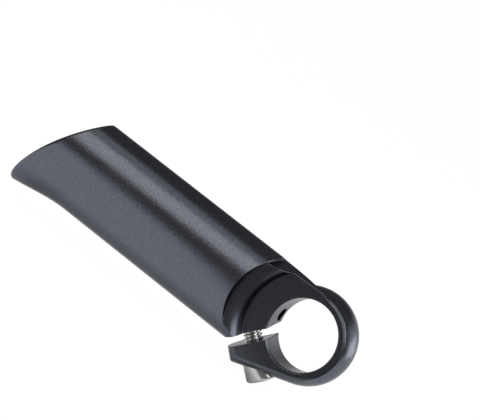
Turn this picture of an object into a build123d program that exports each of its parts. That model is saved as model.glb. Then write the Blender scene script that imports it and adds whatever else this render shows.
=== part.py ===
from build123d import *
from math import cos, radians, sin
import os

# Left-hand bar end for a flat handlebar. The origin is the centre of the clamp bore,
# +X runs along the handlebar towards its middle, +Y along the grip and +Z is up.

# Clamp sizes
bar_diameter = 22.2
clamp_width = 12.8
crown_wall = 4.1
crown_shift = -0.4
outer_rim_wall = 2.1
inner_rim_wall = 2.6
rim_chamfer = 0.5
bore_chamfer = 0.4

# Pinch slot sizes
slot_gap = 3.2
slot_angle = -46.0
slot_skew = 10.0
slot_offset = 3.5

# Ear sizes
ear_angle = -106.0
ear_end_radius = 8.0
ear_seat_depth = 6.4
ear_fillet = 0.6

# Pinch bolt sizes
bolt_to_bore = 5.9
thread_diameter = 6.0
bolt_length = 18.0
head_diameter = 10.0
head_height = 6.0
socket_size = 5.0
socket_depth = 3.2
head_chamfer = 0.5
point_chamfer = 0.8
thread_clearance = 0.05
ear_hole_clearance = 0.3
head_clearance = 0.4
tap_run_out = 0.6

# Grip sizes
grip_depth = 21.9
grip_height = 30.3
grip_roll = 8.0
grip_lean = 9.5
grip_shift = -8.0
grip_rise = 0.4
root_back = 4.0
root_shift = -6.1
root_depth = 25.0
root_wall = 0.9
root_length = 25.0
root_blend = 8.0
grip_length = 103.0
flare_start = 88.0
flare_length = 30.0
flare_growth = 3.2
end_slope = 0.627
end_dome_radius = 80.0
end_fillet = 1.2

# Relief milled into the grip round the clamp's outer face
relief_reach = 12.4
relief_fillet = 5.0
neck_fillet = 0.3
neck_edge_height = 13.8
neck_slope = 18.0

# Vent hole from the bore into the grip
vent_diameter = 4.6
vent_depth = 9.0
vent_shift = 2.5

# Directions and planes worked out from the sizes above
bore_radius = bar_diameter / 2
crown_radius = bore_radius + crown_wall
outer_rim_radius = bore_radius + outer_rim_wall
inner_rim_radius = bore_radius + inner_rim_wall
bolt_distance = bore_radius + bolt_to_bore
root_height = 2 * (bore_radius + root_wall)
relief_radius = bore_radius + relief_reach
half_width = clamp_width / 2
slot_along = Vector(0, cos(radians(slot_angle)), sin(radians(slot_angle)))
slot_across = Vector(0, -sin(radians(slot_angle)), cos(radians(slot_angle)))
bolt_axis = slot_across * cos(radians(slot_skew)) - Vector(sin(radians(slot_skew)), 0, 0)
slot_plane = Plane(origin=slot_across * slot_offset, x_dir=slot_along, z_dir=bolt_axis)
ear_along = Vector(0, -sin(radians(ear_angle)), cos(radians(ear_angle)))
ear_plane = Plane(origin=(0, 0, 0), x_dir=slot_along, z_dir=slot_across)
ear_root = Plane(origin=(0, 0, 0), x_dir=(1, 0, 0), z_dir=ear_along)
seat_level = slot_gap / 2 + ear_seat_depth
tap_depth = bolt_length - ear_seat_depth - slot_gap + tap_run_out
seat_centre = slot_plane.from_local_coords((bolt_distance, 0, -seat_level))
bolt_seat = Plane(origin=seat_centre, x_dir=slot_along, z_dir=bolt_axis)
bolt_line = Axis(seat_centre, bolt_axis)
grip_axis = Vector(sin(radians(grip_lean)), cos(radians(grip_lean)), 0)
grip_centre = Vector(grip_shift, 0, grip_rise)
reach = 2 * grip_length


def crown_profile(plane):
    """Sketch half of the clamp's section: a strip from the bore's axis to its crowned rim."""
    with BuildSketch(plane) as section:
        with BuildLine():
            rim = ThreePointArc(
                (-half_width, outer_rim_radius),
                (crown_shift, crown_radius),
                (half_width, inner_rim_radius),
            )
            Polyline(rim @ 1, (half_width, 0), (-half_width, 0), rim @ 0)
        make_face()
        chamfer(vertices().sort_by(Axis.Y)[-2:], rim_chamfer)
    return section.sketch


def oval(plane, centre, width, height, roll):
    """Sketch an oval as one closed curve whose joint faces the middle of the handlebar."""
    with BuildSketch(plane) as section:
        with BuildLine():
            EllipticalCenterArc(centre, width / 2, height / 2, 0, arc_size=360, rotation=roll)
        make_face()
    return section.sketch


def grip_section(distance, growth=0.0):
    """Sketch the rolled oval of the grip square to its leaning axis, grown downwards."""
    centre = grip_centre + grip_axis * distance - Vector(0, 0, growth / 2)
    plane = Plane(origin=centre, x_dir=grip_axis.cross(Vector(0, 0, 1)), z_dir=-grip_axis)
    return oval(plane, (0, 0), grip_depth, grip_height + growth, grip_roll)


# Clamp ring with a crowned rim, from the ear round to the slot
with BuildPart() as ring:
    add(crown_profile(ear_root))
    revolve(axis=-Axis.X, revolution_arc=360 - slot_angle + ear_angle)

# Ear that carries on from the rim in a straight line and ends round the bolt
with BuildPart() as ear:
    add(crown_profile(ear_root))
    extrude(amount=reach, dir=ear_root.z_dir)
    with BuildSketch(ear_plane):
        with Locations((bolt_distance, 0)):
            Circle(ear_end_radius)
            Rectangle(reach, 2 * ear_end_radius, align=(Align.MAX, Align.CENTER))
    extrude(amount=reach, both=True, mode=Mode.INTERSECT)
    fillet(edges().filter_by(GeomType.BSPLINE).sort_by(Edge.length)[-1], ear_fillet)
    split(bisect_by=slot_plane, keep=Keep.BOTTOM)

# Grip: a root that grows out of the clamp, a straight oval and a flared, slanted end
with BuildPart() as grip:
    add(oval(Plane.XZ.offset(root_back), (root_shift, 0), root_depth, root_height, 0))
    for share in (1, 0.5, 0):
        add(grip_section(root_length - root_blend * share))
    loft()
    add(grip_section(root_length))
    extrude(amount=flare_start - root_length, dir=grip_axis)
    for turn in (0, 30, 60, 90):
        growth = flare_growth * sin(radians(turn)) ** 2
        add(grip_section(flare_start + flare_length * turn / 90, growth))
    loft()
    end_normal = Vector(0, 1, end_slope).normalized()
    dome_centre = grip_centre + grip_axis * grip_length - end_normal * end_dome_radius
    with Locations(dome_centre):
        Sphere(end_dome_radius, mode=Mode.INTERSECT)
    fillet(faces().sort_by(Axis.Y)[-1].edges(), end_fillet)

# Sloping cut that takes the relief over the top of the neck
with BuildPart() as neck_cut:
    with BuildSketch(Plane.YZ):
        Circle(relief_radius)
    extrude(amount=-reach)
    neck_up = Vector(-sin(radians(neck_slope)), 0, cos(radians(neck_slope)))
    neck_plane = Plane(origin=(-half_width, 0, neck_edge_height), x_dir=(0, 1, 0), z_dir=neck_up)
    split(bisect_by=neck_plane, keep=Keep.TOP)

# Relief turned into the grip's outer side, so that the clamp's outer face is free
with BuildPart() as relieved_grip:
    add(grip.part)
    with BuildSketch(Plane.XY):
        with BuildLine():
            scoop = RadiusArc(
                (-half_width, relief_radius - relief_fillet),
                (-half_width - relief_fillet, relief_radius),
                relief_fillet,
            )
            Polyline(
                scoop @ 1, (-reach, relief_radius), (-reach, 0), (-half_width, 0), scoop @ 0
            )
        make_face()
    revolve(axis=Axis.X, mode=Mode.SUBTRACT)
    add(neck_cut.part, mode=Mode.SUBTRACT)
    floor_edges = faces().filter_by(Axis.X).sort_by(Axis.X)[0].edges()
    neck_edges = floor_edges.filter_by(GeomType.BSPLINE) + floor_edges.filter_by(Axis.Y)
    fillet(neck_edges, neck_fillet)
    split(bisect_by=slot_plane, keep=Keep.TOP)

# Forged body: the three forms joined, then bored, slit, drilled and tapped
with BuildPart() as body:
    add(ring.part)
    add(ear.part)
    add(relieved_grip.part)
    with BuildSketch(Plane.YZ):
        Circle(bore_radius)
    extrude(amount=reach, both=True, mode=Mode.SUBTRACT)
    bore_edges = edges().filter_by(GeomType.CIRCLE).filter_by(lambda edge: edge.radius == bore_radius)
    chamfer(bore_edges, bore_chamfer)
    with BuildSketch(slot_plane):
        Rectangle(reach, reach, align=(Align.MIN, Align.CENTER))
    extrude(amount=slot_gap / 2, both=True, mode=Mode.SUBTRACT)
    with BuildSketch(slot_plane):
        with Locations((bolt_distance, 0)):
            Circle((thread_diameter + thread_clearance) / 2)
    extrude(amount=slot_gap / 2 + tap_depth, mode=Mode.SUBTRACT)
    with BuildSketch(slot_plane):
        with Locations((bolt_distance, 0)):
            Circle((thread_diameter + ear_hole_clearance) / 2)
    extrude(amount=-reach, mode=Mode.SUBTRACT)
    with BuildSketch(slot_plane.offset(-seat_level)):
        with Locations((bolt_distance, 0)):
            Circle((head_diameter + head_clearance) / 2)
    extrude(amount=-reach, mode=Mode.SUBTRACT)
    with BuildSketch(Plane(origin=(vent_shift, 0, 0), x_dir=(1, 0, 0), z_dir=(0, 1, 0))):
        Circle(vent_diameter / 2)
    extrude(amount=bore_radius + vent_depth, mode=Mode.SUBTRACT)
body.part.label = "body"

# Pinch bolt: a cap screw whose head is seated in the ear
with BuildPart() as pinch_bolt:
    with BuildSketch(bolt_seat):
        Circle(head_diameter / 2)
    extrude(amount=-head_height)
    chamfer(edges().filter_by(GeomType.CIRCLE).sort_by(bolt_line)[0], head_chamfer)
    with BuildSketch(bolt_seat):
        Circle(thread_diameter / 2)
    extrude(amount=bolt_length)
    chamfer(edges().filter_by(GeomType.CIRCLE).sort_by(bolt_line)[-1], point_chamfer)
    with BuildSketch(bolt_seat.offset(-head_height)):
        RegularPolygon(socket_size / 2, 6, major_radius=False)
    extrude(amount=socket_depth, mode=Mode.SUBTRACT)
pinch_bolt.part.label = "pinch_bolt"

os.makedirs("parts", exist_ok=True)
export_step(body.part, "parts/body.step")
export_step(pinch_bolt.part, "parts/pinch_bolt.step")
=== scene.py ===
"""Dresses the left-hand bar end: its finishes, its cap screw, the studio and the camera."""

import logging
import math
from collections.abc import Callable
from dataclasses import dataclass, field
from enum import Enum

import bpy
from mathutils import Matrix, Quaternion, Vector


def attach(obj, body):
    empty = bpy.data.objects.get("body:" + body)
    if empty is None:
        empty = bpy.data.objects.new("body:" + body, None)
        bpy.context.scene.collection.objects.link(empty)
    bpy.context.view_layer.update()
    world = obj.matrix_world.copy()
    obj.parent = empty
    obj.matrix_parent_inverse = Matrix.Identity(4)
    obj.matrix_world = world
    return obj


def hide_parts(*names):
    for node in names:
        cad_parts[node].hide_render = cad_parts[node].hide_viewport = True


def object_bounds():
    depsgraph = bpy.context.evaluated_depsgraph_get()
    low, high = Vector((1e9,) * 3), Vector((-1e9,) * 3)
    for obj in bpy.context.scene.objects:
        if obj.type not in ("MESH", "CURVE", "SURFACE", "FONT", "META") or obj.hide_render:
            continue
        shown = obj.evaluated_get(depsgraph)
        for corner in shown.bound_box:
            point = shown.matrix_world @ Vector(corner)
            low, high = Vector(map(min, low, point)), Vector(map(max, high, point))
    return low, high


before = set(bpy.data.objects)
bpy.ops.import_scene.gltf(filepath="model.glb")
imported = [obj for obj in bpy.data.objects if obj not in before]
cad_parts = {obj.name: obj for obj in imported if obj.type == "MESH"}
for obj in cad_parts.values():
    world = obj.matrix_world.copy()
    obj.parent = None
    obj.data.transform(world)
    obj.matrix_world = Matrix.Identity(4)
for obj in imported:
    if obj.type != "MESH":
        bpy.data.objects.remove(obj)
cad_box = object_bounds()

Triple = tuple[float, float, float]
Span = tuple[float, float]
Socket = bpy.types.NodeSocket
Source = Socket | float | tuple[float, ...]

log = logging.getLogger("bar_end")
MM = 0.001


class Side(Enum):
    """Which half of a cut mesh is kept."""

    BELOW = "below"
    ABOVE = "above"


def deselect_all() -> None:
    """Leave nothing selected and no object in edit mode."""
    if bpy.context.object and bpy.context.object.mode != "OBJECT":
        bpy.ops.object.mode_set(mode="OBJECT")
    bpy.ops.object.select_all(action="DESELECT")


def make_active(piece: bpy.types.Object) -> None:
    """Select one object alone and make it the active one."""
    deselect_all()
    piece.select_set(True)
    bpy.context.view_layer.objects.active = piece


def apply_modifiers(piece: bpy.types.Object) -> None:
    """Apply every modifier of a piece, in order."""
    make_active(piece)
    for modifier in list(piece.modifiers):
        bpy.ops.object.modifier_apply(modifier=modifier.name)


def select_faces(piece: bpy.types.Object, chosen: Callable[[bpy.types.MeshPolygon], bool]) -> None:
    """Select some faces of the active piece and stay in edit mode.

    Args:
        piece: the active object, in object mode.
        chosen: tells whether a face is to be selected.
    """
    bpy.ops.object.mode_set(mode="EDIT")
    bpy.ops.mesh.select_mode(type="FACE")
    bpy.ops.mesh.select_all(action="DESELECT")
    bpy.ops.object.mode_set(mode="OBJECT")
    for face in piece.data.polygons:
        face.select = chosen(face)
    bpy.ops.object.mode_set(mode="EDIT")


def place(piece: bpy.types.Object, matrix: Matrix) -> None:
    """Move a piece to its place and put that place into its mesh."""
    piece.matrix_world = matrix
    make_active(piece)
    bpy.ops.object.transform_apply(location=True, rotation=True, scale=True)


def dress(piece: bpy.types.Object, finish: bpy.types.Material) -> None:
    """Give a piece one finish in place of what it has."""
    piece.data.materials.clear()
    piece.data.materials.append(finish)


class NodeKit:
    """Short calls for the nodes that the finishes, the floor and the surround share."""

    def __init__(self, tree: bpy.types.NodeTree) -> None:
        """Work in one node tree."""
        self.tree = tree

    def find(self, kind: str) -> bpy.types.Node:
        """Find the tree's own node of one kind."""
        return next(node for node in self.tree.nodes if node.type == kind)

    def feed(self, entry: Socket, source: Source) -> None:
        """Give a socket its value.

        Args:
            entry: the socket that is fed.
            source: another node's socket, or a fixed value.
        """
        if isinstance(source, Socket):
            self.tree.links.new(source, entry)
        else:
            entry.default_value = source

    def feed_all(self, node: bpy.types.Node, sources: dict[str | int, Source]) -> None:
        """Feed several sockets of a node, each by its name or number."""
        for name, source in sources.items():
            self.feed(node.inputs[name], source)

    def add(self, kind: str, sources: dict[str | int, Source] | None = None,
            **settings: object) -> bpy.types.Node:
        """Add a node.

        Args:
            kind: the node's kind.
            sources: what feeds its sockets.
            settings: its properties, which are set first.

        Returns:
            The node.
        """
        node = self.tree.nodes.new(kind)
        for name, value in settings.items():
            setattr(node, name, value)
        self.feed_all(node, sources or {})
        return node

    def combine(self, operation: str, first: Source, second: Source, clamp: bool = False) -> Socket:
        """Join two values by one operation.

        Args:
            operation: the name of the operation.
            first: the first value.
            second: the second value.
            clamp: keeps the result between 0 and 1.

        Returns:
            The socket with the result.
        """
        sources = {0: first, 1: second}
        node = self.add("ShaderNodeMath", sources, operation=operation, use_clamp=clamp)
        return node.outputs["Value"]

    def measure(self, output: str, axis: Triple) -> Socket:
        """Measure how far a point or a direction lies along an axis.

        Args:
            output: the coordinates that are read.
            axis: the axis.

        Returns:
            The socket with the measure.
        """
        coords = self.add("ShaderNodeTexCoord")
        sources = {0: coords.outputs[output], 1: axis}
        along = self.add("ShaderNodeVectorMath", sources, operation="DOT_PRODUCT")
        return along.outputs["Value"]

    def ramp(self, value: Socket, ends: Span, levels: Span, kind: str = "SMOOTHSTEP") -> Socket:
        """Turn a value into a step.

        Args:
            value: the socket that is read.
            ends: where the step begins and ends.
            levels: the result before and after the step.
            kind: how the step runs between its ends.

        Returns:
            The socket with the step.
        """
        sources = {
            "Value": value, "From Min": ends[0], "From Max": ends[1],
            "To Min": levels[0], "To Max": levels[1],
        }
        step = self.add("ShaderNodeMapRange", sources, interpolation_type=kind)
        return step.outputs["Result"]

    def mix(self, share: Socket, first: Source, second: Source, kind: str) -> Socket:
        """Mix two colours or two numbers.

        Args:
            share: how much of the second one is taken.
            first: the first one.
            second: the second one.
            kind: "RGBA" for colours or "FLOAT" for numbers.

        Returns:
            The socket with the mix.
        """
        sources = {"Factor": share, "A": first, "B": second}
        return self.add("ShaderNodeMix", sources, data_type=kind).outputs["Result"]

    def tell_rays(self) -> tuple[Socket, Socket]:
        """Tell the camera's own rays and the rays of gloss and glass from the others.

        Returns:
            The sockets that are 1 for the camera's rays, and for gloss and glass.
        """
        rays = self.add("ShaderNodeLightPath").outputs
        mirrored = self.combine("MAXIMUM", rays["Is Glossy Ray"], rays["Is Transmission Ray"])
        return rays["Is Camera Ray"], mirrored

    def finish_surface(self, share: Socket, first: Socket, second: Socket, output: str) -> None:
        """Mix two shaders into the tree's surface.

        Args:
            share: how much of the second one is taken.
            first: the first shader.
            second: the second shader.
            output: the kind of the tree's output node.
        """
        mixed = self.add("ShaderNodeMixShader", {"Fac": share, 1: first, 2: second})
        self.feed(self.find(output).inputs["Surface"], mixed.outputs["Shader"])


def start_group(name: str, entries: dict[str, float],
                exits: dict[str, str]) -> tuple[NodeKit, bpy.types.Node, bpy.types.Node]:
    """Start a shared shader group.

    Args:
        name: the group's name.
        entries: the numbers it takes, with their usual values.
        exits: what it gives, with the kinds of socket.
    """
    tree = bpy.data.node_groups.new(name, "ShaderNodeTree")
    for label, value in entries.items():
        entry = tree.interface.new_socket(label, in_out="INPUT", socket_type="NodeSocketFloat")
        entry.default_value = value
    for label, kind in exits.items():
        tree.interface.new_socket(label, in_out="OUTPUT", socket_type=kind)
    kit = NodeKit(tree)
    return kit, kit.add("NodeGroupInput"), kit.add("NodeGroupOutput")


@dataclass
class SharedEffects:
    """Shader node groups that more than one finish uses."""

    grain_scale: float = 3000.0
    grain_detail: float = 3.0
    cloud_scale: float = 60.0
    cloud_detail: float = 4.0
    edge_radius: float = 0.4 * MM
    wear_and_highlight_gain: float = 3.0
    edge_samples: int = 14
    relief_reach: float = 23.5 * MM
    relief_level: float = -6.0 * MM

    def __post_init__(self) -> None:
        """Build each group once."""
        self.grain = self.build_grain()
        self.edge = self.build_edge()
        self.relief = self.build_relief()

    def build_grain(self) -> bpy.types.NodeTree:
        """Build the fine grain of a blasted metal skin with broad, faint clouds.

        Returns:
            A group with Scale and Clouds in, and Height and Mask out.
        """
        entries = {"Scale": self.grain_scale, "Clouds": self.cloud_scale}
        exits = {"Height": "NodeSocketFloat", "Mask": "NodeSocketFloat"}
        kit, entry, leave = start_group("blasted_grain", entries, exits)
        coords = kit.add("ShaderNodeTexCoord")
        noises = (
            ("Scale", self.grain_detail, "Height"),
            ("Clouds", self.cloud_detail, "Mask"),
        )
        for scale, detail, result in noises:
            noise = kit.add("ShaderNodeTexNoise", {
                "Vector": coords.outputs["Object"],
                "Scale": entry.outputs[scale],
                "Detail": detail,
            })
            kit.feed(leave.inputs[result], noise.outputs["Fac"])
        return kit.tree

    def build_edge(self) -> bpy.types.NodeTree:
        """Build the mask of worn edges, whose lighter colour is also a painted highlight, and their
        rounded normal.

        Returns:
            A group with Radius and Gain in, and Mask and Normal out.
        """
        entries = {"Radius": self.edge_radius, "Gain": self.wear_and_highlight_gain}
        exits = {"Mask": "NodeSocketFloat", "Normal": "NodeSocketVector"}
        kit, entry, leave = start_group("worn_edge_and_painted_highlight", entries, exits)
        bevel = kit.add(
            "ShaderNodeBevel", {"Radius": entry.outputs["Radius"]}, samples=self.edge_samples
        )
        rounded = bevel.outputs["Normal"]
        flat = kit.add("ShaderNodeNewGeometry").outputs["Normal"]
        alike = kit.add("ShaderNodeVectorMath", {0: rounded, 1: flat}, operation="DOT_PRODUCT")
        turned = kit.combine("SUBTRACT", 1.0, alike.outputs["Value"])
        # The mask lights up the edges: partly wear, partly a painted highlight line.
        mask = kit.combine("MULTIPLY", turned, entry.outputs["Gain"], clamp=True)
        kit.feed_all(leave, {"Mask": mask, "Normal": rounded})
        return kit.tree

    def build_relief(self) -> bpy.types.NodeTree:
        """Build the mask of the turned relief and the faces round the bore.

        Returns:
            A group with Reach and Level in, and Mask out.
        """
        entries = {"Reach": self.relief_reach, "Level": self.relief_level}
        exits = {"Mask": "NodeSocketFloat"}
        kit, entry, leave = start_group("turned_relief", entries, exits)
        point = kit.add("ShaderNodeTexCoord").outputs["Object"]
        across = {0: point, 1: (0.0, 1.0, 1.0)}
        flat = kit.add("ShaderNodeVectorMath", across, operation="MULTIPLY")
        radius = kit.add("ShaderNodeVectorMath", {0: flat.outputs["Vector"]}, operation="LENGTH")
        parts = kit.add("ShaderNodeSeparateXYZ", {"Vector": point})
        within = kit.combine("LESS_THAN", radius.outputs["Value"], entry.outputs["Reach"])
        outside = kit.combine("LESS_THAN", parts.outputs["X"], entry.outputs["Level"])
        kit.feed(leave.inputs["Mask"], kit.combine("MULTIPLY", within, outside))
        return kit.tree


@dataclass(frozen=True)
class MetalFinish:
    """One metal finish: colours, gloss and how strongly the shared effects show."""

    name: str
    colour: Triple
    speckle_colour: Triple
    wear_and_highlight_colour: Triple
    roughness: Span
    relief_roughness: float
    edge_tint: float
    grain_scale: float
    cloud_scale: float
    grain_depth: float
    edge_radius: float
    wear_and_highlight_gain: float
    metallic: float = 1.0
    grain_strength: float = 0.5
    speckle_ends: Span = (0.35, 0.65)
    cloud_ends: Span = (0.3, 0.7)

    def build(self, effects: SharedEffects) -> bpy.types.Material:
        """Make the material.

        Args:
            effects: the shared node groups.

        Returns:
            The finished material.
        """
        material = bpy.data.materials.new(self.name)
        material.use_nodes = True
        kit = NodeKit(material.node_tree)
        scales = {"Scale": self.grain_scale, "Clouds": self.cloud_scale}
        grain = kit.add("ShaderNodeGroup", scales, node_tree=effects.grain)
        wear_and_highlight_settings = {"Radius": self.edge_radius, "Gain": self.wear_and_highlight_gain}
        edge = kit.add("ShaderNodeGroup", wear_and_highlight_settings, node_tree=effects.edge)
        relief = kit.add("ShaderNodeGroup", node_tree=effects.relief)
        height, clouds = grain.outputs["Height"], grain.outputs["Mask"]
        speckle = kit.ramp(height, self.speckle_ends, (0.0, 1.0), "LINEAR")
        skin = kit.mix(speckle, (*self.colour, 1.0), (*self.speckle_colour, 1.0), "RGBA")
        # Lighter colour along the edges: partly worn anodising, partly a painted highlight line.
        worn_and_highlit = kit.mix(edge.outputs["Mask"], skin, (*self.wear_and_highlight_colour, 1.0), "RGBA")
        gloss = kit.ramp(clouds, self.cloud_ends, self.roughness, "LINEAR")
        matt = kit.mix(relief.outputs["Mask"], gloss, self.relief_roughness, "FLOAT")
        bump = kit.add("ShaderNodeBump", {
            "Height": height,
            "Distance": self.grain_depth,
            "Strength": self.grain_strength,
            "Normal": edge.outputs["Normal"],
        })
        kit.feed_all(kit.find("BSDF_PRINCIPLED"), {
            "Base Color": worn_and_highlit,
            "Roughness": matt,
            "Normal": bump.outputs["Normal"],
            "Metallic": self.metallic,
            "Specular Tint": (self.edge_tint, self.edge_tint, self.edge_tint, 1.0),
        })
        return material


BLACK_ANODISED = MetalFinish(
    name="satin_black_anodised",
    colour=(0.099, 0.106, 0.129),
    speckle_colour=(0.127, 0.135, 0.161),
    # Edge colour: lighter worn edges that also stand as a painted highlight.
    wear_and_highlight_colour=(0.36, 0.365, 0.38),
    roughness=(0.21, 0.25),
    relief_roughness=0.30,
    edge_tint=0.66,
    grain_scale=1700.0,
    cloud_scale=90.0,
    grain_depth=0.09 * MM,
    edge_radius=0.28 * MM,
    wear_and_highlight_gain=2.0,
)

BRIGHT_STEEL = MetalFinish(
    name="bright_plated_steel",
    colour=(0.66, 0.655, 0.65),
    speckle_colour=(0.56, 0.555, 0.55),
    # Edge colour: lighter worn edges that also stand as a painted highlight.
    wear_and_highlight_colour=(0.80, 0.80, 0.79),
    roughness=(0.09, 0.16),
    relief_roughness=0.12,
    edge_tint=1.0,
    grain_scale=3500.0,
    cloud_scale=400.0,
    grain_depth=0.008 * MM,
    edge_radius=0.1 * MM,
    wear_and_highlight_gain=1.0,
)


@dataclass
class CapScrew:
    """M6 socket head cap screw that pinches the clamp.

    The flats, crest and flanks of its thread are shares of the pitch.
    """

    slot_angle: float = -46.0
    slot_skew: float = 10.0
    slot_offset: float = 3.5 * MM
    slot_gap: float = 3.2 * MM
    seat_depth: float = 6.4 * MM
    distance: float = 17.0 * MM
    head_radius: float = 5.0 * MM
    head_height: float = 6.0 * MM
    head_round: float = 1.0 * MM
    head_facets: int = 72
    round_facets: int = 4
    socket_flats: float = 5.0 * MM
    socket_depth: float = 3.2 * MM
    corner_round: float = 0.12 * MM
    corner_facets: int = 2
    corner_angle: float = 40.0
    thread_radius: float = 3.0 * MM
    pitch: float = 1.0 * MM
    tooth_depth: float = 0.55 * MM
    root_flat: float = 0.25
    crest_flat: float = 0.125
    flank: float = 0.3125
    lead_in: float = 1.37
    spare_turns: int = 3
    turn_facets: int = 40
    length: float = 18.0 * MM
    weld: float = 0.002 * MM
    cut_limit: float = 0.0001 * MM
    smooth_angle: float = 35.0

    def seat_matrix(self) -> Matrix:
        """Give the place of the head's seat, with +Z along the shank.

        Returns:
            A matrix from the screw's own frame to the part's frame.
        """
        angle, skew = math.radians(self.slot_angle), math.radians(self.slot_skew)
        along = Vector((0, math.cos(angle), math.sin(angle)))
        across = Vector((0, -math.sin(angle), math.cos(angle)))
        axis = across * math.cos(skew) - Vector((math.sin(skew), 0, 0))
        side = axis.cross(along)
        centre = across * self.slot_offset + along * self.distance
        centre -= axis * (self.slot_gap / 2 + self.seat_depth)
        turn = Matrix((along, side, axis)).transposed().to_4x4()
        return Matrix.Translation(centre) @ turn

    def build_head(self) -> bpy.types.Object:
        """Model the head: a turned disc with a rounded rim and a hexagon socket.

        Returns:
            The head, from its seat at z = 0 down to its top.
        """
        deselect_all()
        bpy.ops.mesh.primitive_cylinder_add(
            vertices=self.head_facets, radius=self.head_radius, depth=self.head_height,
            location=(0, 0, -self.head_height / 2),
        )
        head = bpy.context.object
        head.name = "screw_head"
        bpy.ops.object.transform_apply(location=True, rotation=True, scale=True)
        select_faces(head, lambda face: face.center.z < -0.99 * self.head_height)
        bpy.ops.mesh.bevel(offset=self.head_round, segments=self.round_facets, affect="EDGES")
        deselect_all()
        bpy.ops.mesh.primitive_cylinder_add(
            vertices=6, radius=self.socket_flats / math.sqrt(3), depth=2 * self.socket_depth,
            location=(0, 0, -self.head_height),
        )
        cutter = bpy.context.object
        bore = head.modifiers.new("socket", "BOOLEAN")
        bore.operation = "DIFFERENCE"
        bore.solver = "EXACT"
        bore.object = cutter
        soften = head.modifiers.new("soften", "BEVEL")
        soften.width = self.corner_round
        soften.segments = self.corner_facets
        soften.limit_method = "ANGLE"
        soften.angle_limit = math.radians(self.corner_angle)
        apply_modifiers(head)
        bpy.data.objects.remove(cutter)
        return head

    def draw_tooth(self) -> None:
        """Draw one tooth's outline upwards from a single point, in edit mode."""
        bpy.ops.mesh.select_mode(type="VERT")
        bpy.ops.mesh.select_all(action="SELECT")
        bpy.ops.mesh.merge(type="CENTER")
        root = self.thread_radius - self.tooth_depth
        bpy.ops.transform.translate(value=(root, 0, -self.lead_in * self.pitch))
        steps = (
            (0.0, self.root_flat),
            (self.tooth_depth, self.flank),
            (0.0, self.crest_flat),
            (-self.tooth_depth, self.flank),
        )
        for outward, share in steps:
            bpy.ops.mesh.extrude_region_move(
                TRANSFORM_OT_translate={"value": (outward, 0, share * self.pitch)}
            )

    def build_thread(self) -> bpy.types.Object:
        """Model the threaded shank: one tooth's outline wound up the axis and cut to length.

        Returns:
            The shank, from the seat at z = 0 up to its point.
        """
        deselect_all()
        bpy.ops.mesh.primitive_plane_add(size=MM, location=(0, 0, 0))
        shank = bpy.context.object
        shank.name = "screw_shank"
        bpy.ops.object.mode_set(mode="EDIT")
        self.draw_tooth()
        bpy.ops.object.mode_set(mode="OBJECT")
        wind = shank.modifiers.new("wind", "SCREW")
        wind.steps = wind.render_steps = self.turn_facets
        wind.screw_offset = self.pitch
        wind.iterations = int(self.length / self.pitch) + self.spare_turns
        wind.use_merge_vertices = False
        apply_modifiers(shank)
        bpy.ops.object.mode_set(mode="EDIT")
        bpy.ops.mesh.select_all(action="SELECT")
        bpy.ops.mesh.remove_doubles(threshold=self.weld)
        self.cut(0.0, Side.ABOVE)
        self.cut(self.length, Side.BELOW)
        bpy.ops.mesh.select_all(action="SELECT")
        bpy.ops.mesh.normals_make_consistent(inside=False)
        bpy.ops.object.mode_set(mode="OBJECT")
        return shank

    def cut(self, level: float, keep: Side) -> None:
        """Cut the mesh in edit mode square across at a height and close the cut.

        Args:
            level: the height of the cut.
            keep: the side that stays.
        """
        bpy.ops.mesh.select_all(action="SELECT")
        bpy.ops.mesh.bisect(
            plane_co=(0, 0, level), plane_no=(0, 0, 1), use_fill=True, threshold=self.cut_limit,
            clear_inner=keep is Side.ABOVE, clear_outer=keep is Side.BELOW,
        )

    def build(self, finish: bpy.types.Material) -> bpy.types.Object:
        """Model the screw, join its parts and set it in its seat.

        Args:
            finish: the metal it is dressed in.

        Returns:
            The finished screw.
        """
        head, shank = self.build_head(), self.build_thread()
        deselect_all()
        shank.select_set(True)
        head.select_set(True)
        bpy.context.view_layer.objects.active = head
        bpy.ops.object.join()
        screw = bpy.context.object
        screw.name = "cap_screw"
        place(screw, self.seat_matrix())
        bpy.ops.object.shade_smooth_by_angle(angle=math.radians(self.smooth_angle))
        dress(screw, finish)
        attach(screw, "root")
        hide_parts("pinch_bolt")
        return screw


@dataclass(frozen=True)
class ForgedBody:
    """The forged body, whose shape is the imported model's own."""

    node: str = "body"

    def build(self, finish: bpy.types.Material) -> bpy.types.Object:
        """Give the body its finish.

        Args:
            finish: the metal it is dressed in.

        Returns:
            The body's object.
        """
        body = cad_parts[self.node]
        dress(body, finish)
        return body


@dataclass(frozen=True)
class Softbox:
    """A soft rectangular lamp that faces the object."""

    name: str
    place: Triple
    width: float
    height: float
    power: float
    colour: Triple = (1.0, 1.0, 1.0)
    aim: Triple = (0.0, 0.045, 0.0)

    def build(self) -> bpy.types.Object:
        """Make the lamp and turn it towards its aim.

        Returns:
            The lamp's object.
        """
        data = bpy.data.lights.new(self.name, "AREA")
        data.shape = "RECTANGLE"
        data.size = self.width
        data.size_y = self.height
        data.energy = self.power
        data.color = self.colour
        lamp = bpy.data.objects.new(self.name, data)
        bpy.context.scene.collection.objects.link(lamp)
        lamp.location = self.place
        away = Vector(self.place) - Vector(self.aim)
        lamp.rotation_euler = away.to_track_quat("Z", "Y").to_euler()
        return lamp


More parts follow.
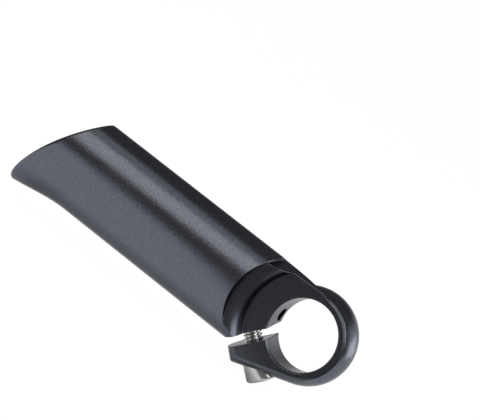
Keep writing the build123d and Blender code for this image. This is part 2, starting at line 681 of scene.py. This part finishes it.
@dataclass
class Studio:
    """Plain pale floor that runs on into a white backdrop, and soft lamps."""

    floor_size: float = 6.0
    floor_colour: Triple = (0.86, 0.86, 0.86)
    floor_roughness: float = 0.9
    floor_sheen: float = 0.1
    floor_white: float = 1.08
    surround_grey: float = 0.17
    shadow_share: float = 0.10
    painted_shadow_reach: float = 0.012
    left_axis: Triple = (0.70, 0.71, 0.0)
    left_edge: Span = (-0.020, 0.006)
    sweep_axis: Triple = (0.94, 0.34, 0.0)
    sweep_edge: Span = (-0.025, -0.005)
    backdrop_side: Span = (0.05, 0.25)
    backdrop_slope: Triple = (0.0, 0.5, 0.87)
    backdrop_top: Span = (0.10, 0.40)
    lamps: list[Softbox] = field(default_factory=list)

    def mirrored_floor(self, kit: NodeKit) -> Socket:
        """Tell how bright the floor shows in metal.

        It is white behind and on the left, grey towards the camera, and darkened under the object
        by a painted contact shadow.

        Args:
            kit: the floor's nodes.

        Returns:
            The socket with the brightness.
        """
        levels = (self.surround_grey, 1.0)
        behind = kit.ramp(kit.measure("Object", self.sweep_axis), self.sweep_edge, levels)
        beside = kit.ramp(kit.measure("Object", self.left_axis), self.left_edge, levels)
        # Painted contact shadow: ambient occlusion darkens the floor's brightness under the object
        # as metal sees it.
        painted_contact_shadow = kit.add("ShaderNodeAmbientOcclusion", {"Distance": self.painted_shadow_reach})
        return kit.combine(
            "MULTIPLY", kit.combine("MAXIMUM", behind, beside), painted_contact_shadow.outputs["AO"]
        )

    def floor_finish(self) -> bpy.types.Material:
        """Make the floor's material, which takes the object's shadow.

        Returns:
            The material.
        """
        material = bpy.data.materials.new("pale_floor")
        material.use_nodes = True
        kit = NodeKit(material.node_tree)
        matt = kit.find("BSDF_PRINCIPLED")
        kit.feed_all(matt, {
            "Base Color": (*self.floor_colour, 1.0),
            "Roughness": self.floor_roughness,
            "Specular IOR Level": self.floor_sheen,
        })
        seen, mirrored = kit.tell_rays()
        strength = kit.combine("MAXIMUM", self.mirrored_floor(kit), seen)
        strength = kit.combine("MULTIPLY", strength, self.floor_white)
        white = kit.add("ShaderNodeEmission", {"Strength": strength})
        unshaded = kit.combine("MULTIPLY", seen, 1.0 - self.shadow_share)
        share = kit.combine("MAXIMUM", unshaded, mirrored)
        kit.finish_surface(
            share, matt.outputs["BSDF"], white.outputs["Emission"], "OUTPUT_MATERIAL"
        )
        return material

    def build_floor(self, level: float) -> bpy.types.Object:
        """Lay the floor under the object.

        Args:
            level: the height of the object's lowest point.

        Returns:
            The floor.
        """
        deselect_all()
        bpy.ops.mesh.primitive_plane_add(size=self.floor_size, location=(0, 0, level))
        floor = bpy.context.object
        floor.name = "floor"
        bpy.ops.object.transform_apply(location=True, rotation=True, scale=True)
        dress(floor, self.floor_finish())
        return floor

    def build_surround(self) -> None:
        """Make the world: a white backdrop behind the object and plain grey elsewhere."""
        world = bpy.data.worlds.new("surround")
        bpy.context.scene.world = world
        world.use_nodes = True
        kit = NodeKit(world.node_tree)
        ground = kit.find("BACKGROUND")
        grey = self.surround_grey
        kit.feed(ground.inputs["Color"], (grey, grey, grey, 1.0))
        white = kit.add("ShaderNodeBackground", {"Color": (1.0, 1.0, 1.0, 1.0)})
        back = kit.measure("Generated", self.sweep_axis)
        behind = kit.ramp(back, self.backdrop_side, (0.0, 1.0))
        height = kit.measure("Generated", self.backdrop_slope)
        below = kit.ramp(height, self.backdrop_top, (1.0, 0.0))
        seen, mirrored = kit.tell_rays()
        shown = kit.combine("MULTIPLY", kit.combine("MULTIPLY", behind, below), mirrored)
        share = kit.combine("MAXIMUM", seen, shown)
        kit.finish_surface(
            share, ground.outputs["Background"], white.outputs["Background"], "OUTPUT_WORLD"
        )

    def build(self, level: float) -> None:
        """Build the floor, the surround and the lamps.

        Args:
            level: the height of the object's lowest point.
        """
        self.build_floor(level)
        self.build_surround()
        for lamp in self.lamps:
            lamp.build()


@dataclass(frozen=True)
class ProductCamera:
    """The camera that looks at the object as the photograph does."""

    place: Triple = (-1.14819, -0.28726, 0.193917)
    turn: tuple[float, float, float, float] = (0.710594, 0.384190, -0.528822, -0.260389)
    lens: float = 301.5
    sensor_width: float = 36.0
    near: float = 0.01
    far: float = 50.0

    def build(self) -> bpy.types.Object:
        """Make the camera and put the scene in its charge.

        Returns:
            The camera's object.
        """
        data = bpy.data.cameras.new("camera")
        data.lens = self.lens
        data.sensor_width = self.sensor_width
        data.sensor_fit = "HORIZONTAL"
        data.clip_start = self.near
        data.clip_end = self.far
        camera = bpy.data.objects.new("camera", data)
        bpy.context.scene.collection.objects.link(camera)
        camera.location = self.place
        camera.rotation_euler = Quaternion(self.turn).to_euler()
        bpy.context.scene.camera = camera
        return camera


def studio_lamps() -> list[Softbox]:
    """Give the lamps: a long one with a strip over it, a square one and a dim one at the back.

    Returns:
        The softboxes, placed in metres round the object.
    """
    return [
        Softbox("left_box", (-0.85, 0.36, 0.63), 1.6, 0.62, 4.9, (1.0, 0.965, 0.91)),
        Softbox("left_box_top", (-0.36, 0.54, 0.90), 0.7, 0.24, 0.34),
        Softbox("right_box", (-0.43, -0.75, 0.68), 0.8, 0.8, 5.0),
        Softbox("back_box", (0.60, -0.54, 0.14), 0.5, 0.3, 1.0),
    ]


def main() -> None:
    """Build the finishes, the pieces, the studio and the camera."""
    logging.basicConfig(level=logging.INFO, format="%(name)s: %(message)s")
    effects = SharedEffects()
    anodised, steel = BLACK_ANODISED.build(effects), BRIGHT_STEEL.build(effects)
    body = ForgedBody().build(anodised)
    log.info("dressed %s", body.name)
    screw = CapScrew().build(steel)
    log.info("built %s with %d faces", screw.name, len(screw.data.polygons))
    Studio(lamps=studio_lamps()).build(cad_box[0][2])
    ProductCamera().build()
    bpy.context.scene.view_settings.view_transform = "Standard"


if __name__ == "__main__":
    main()
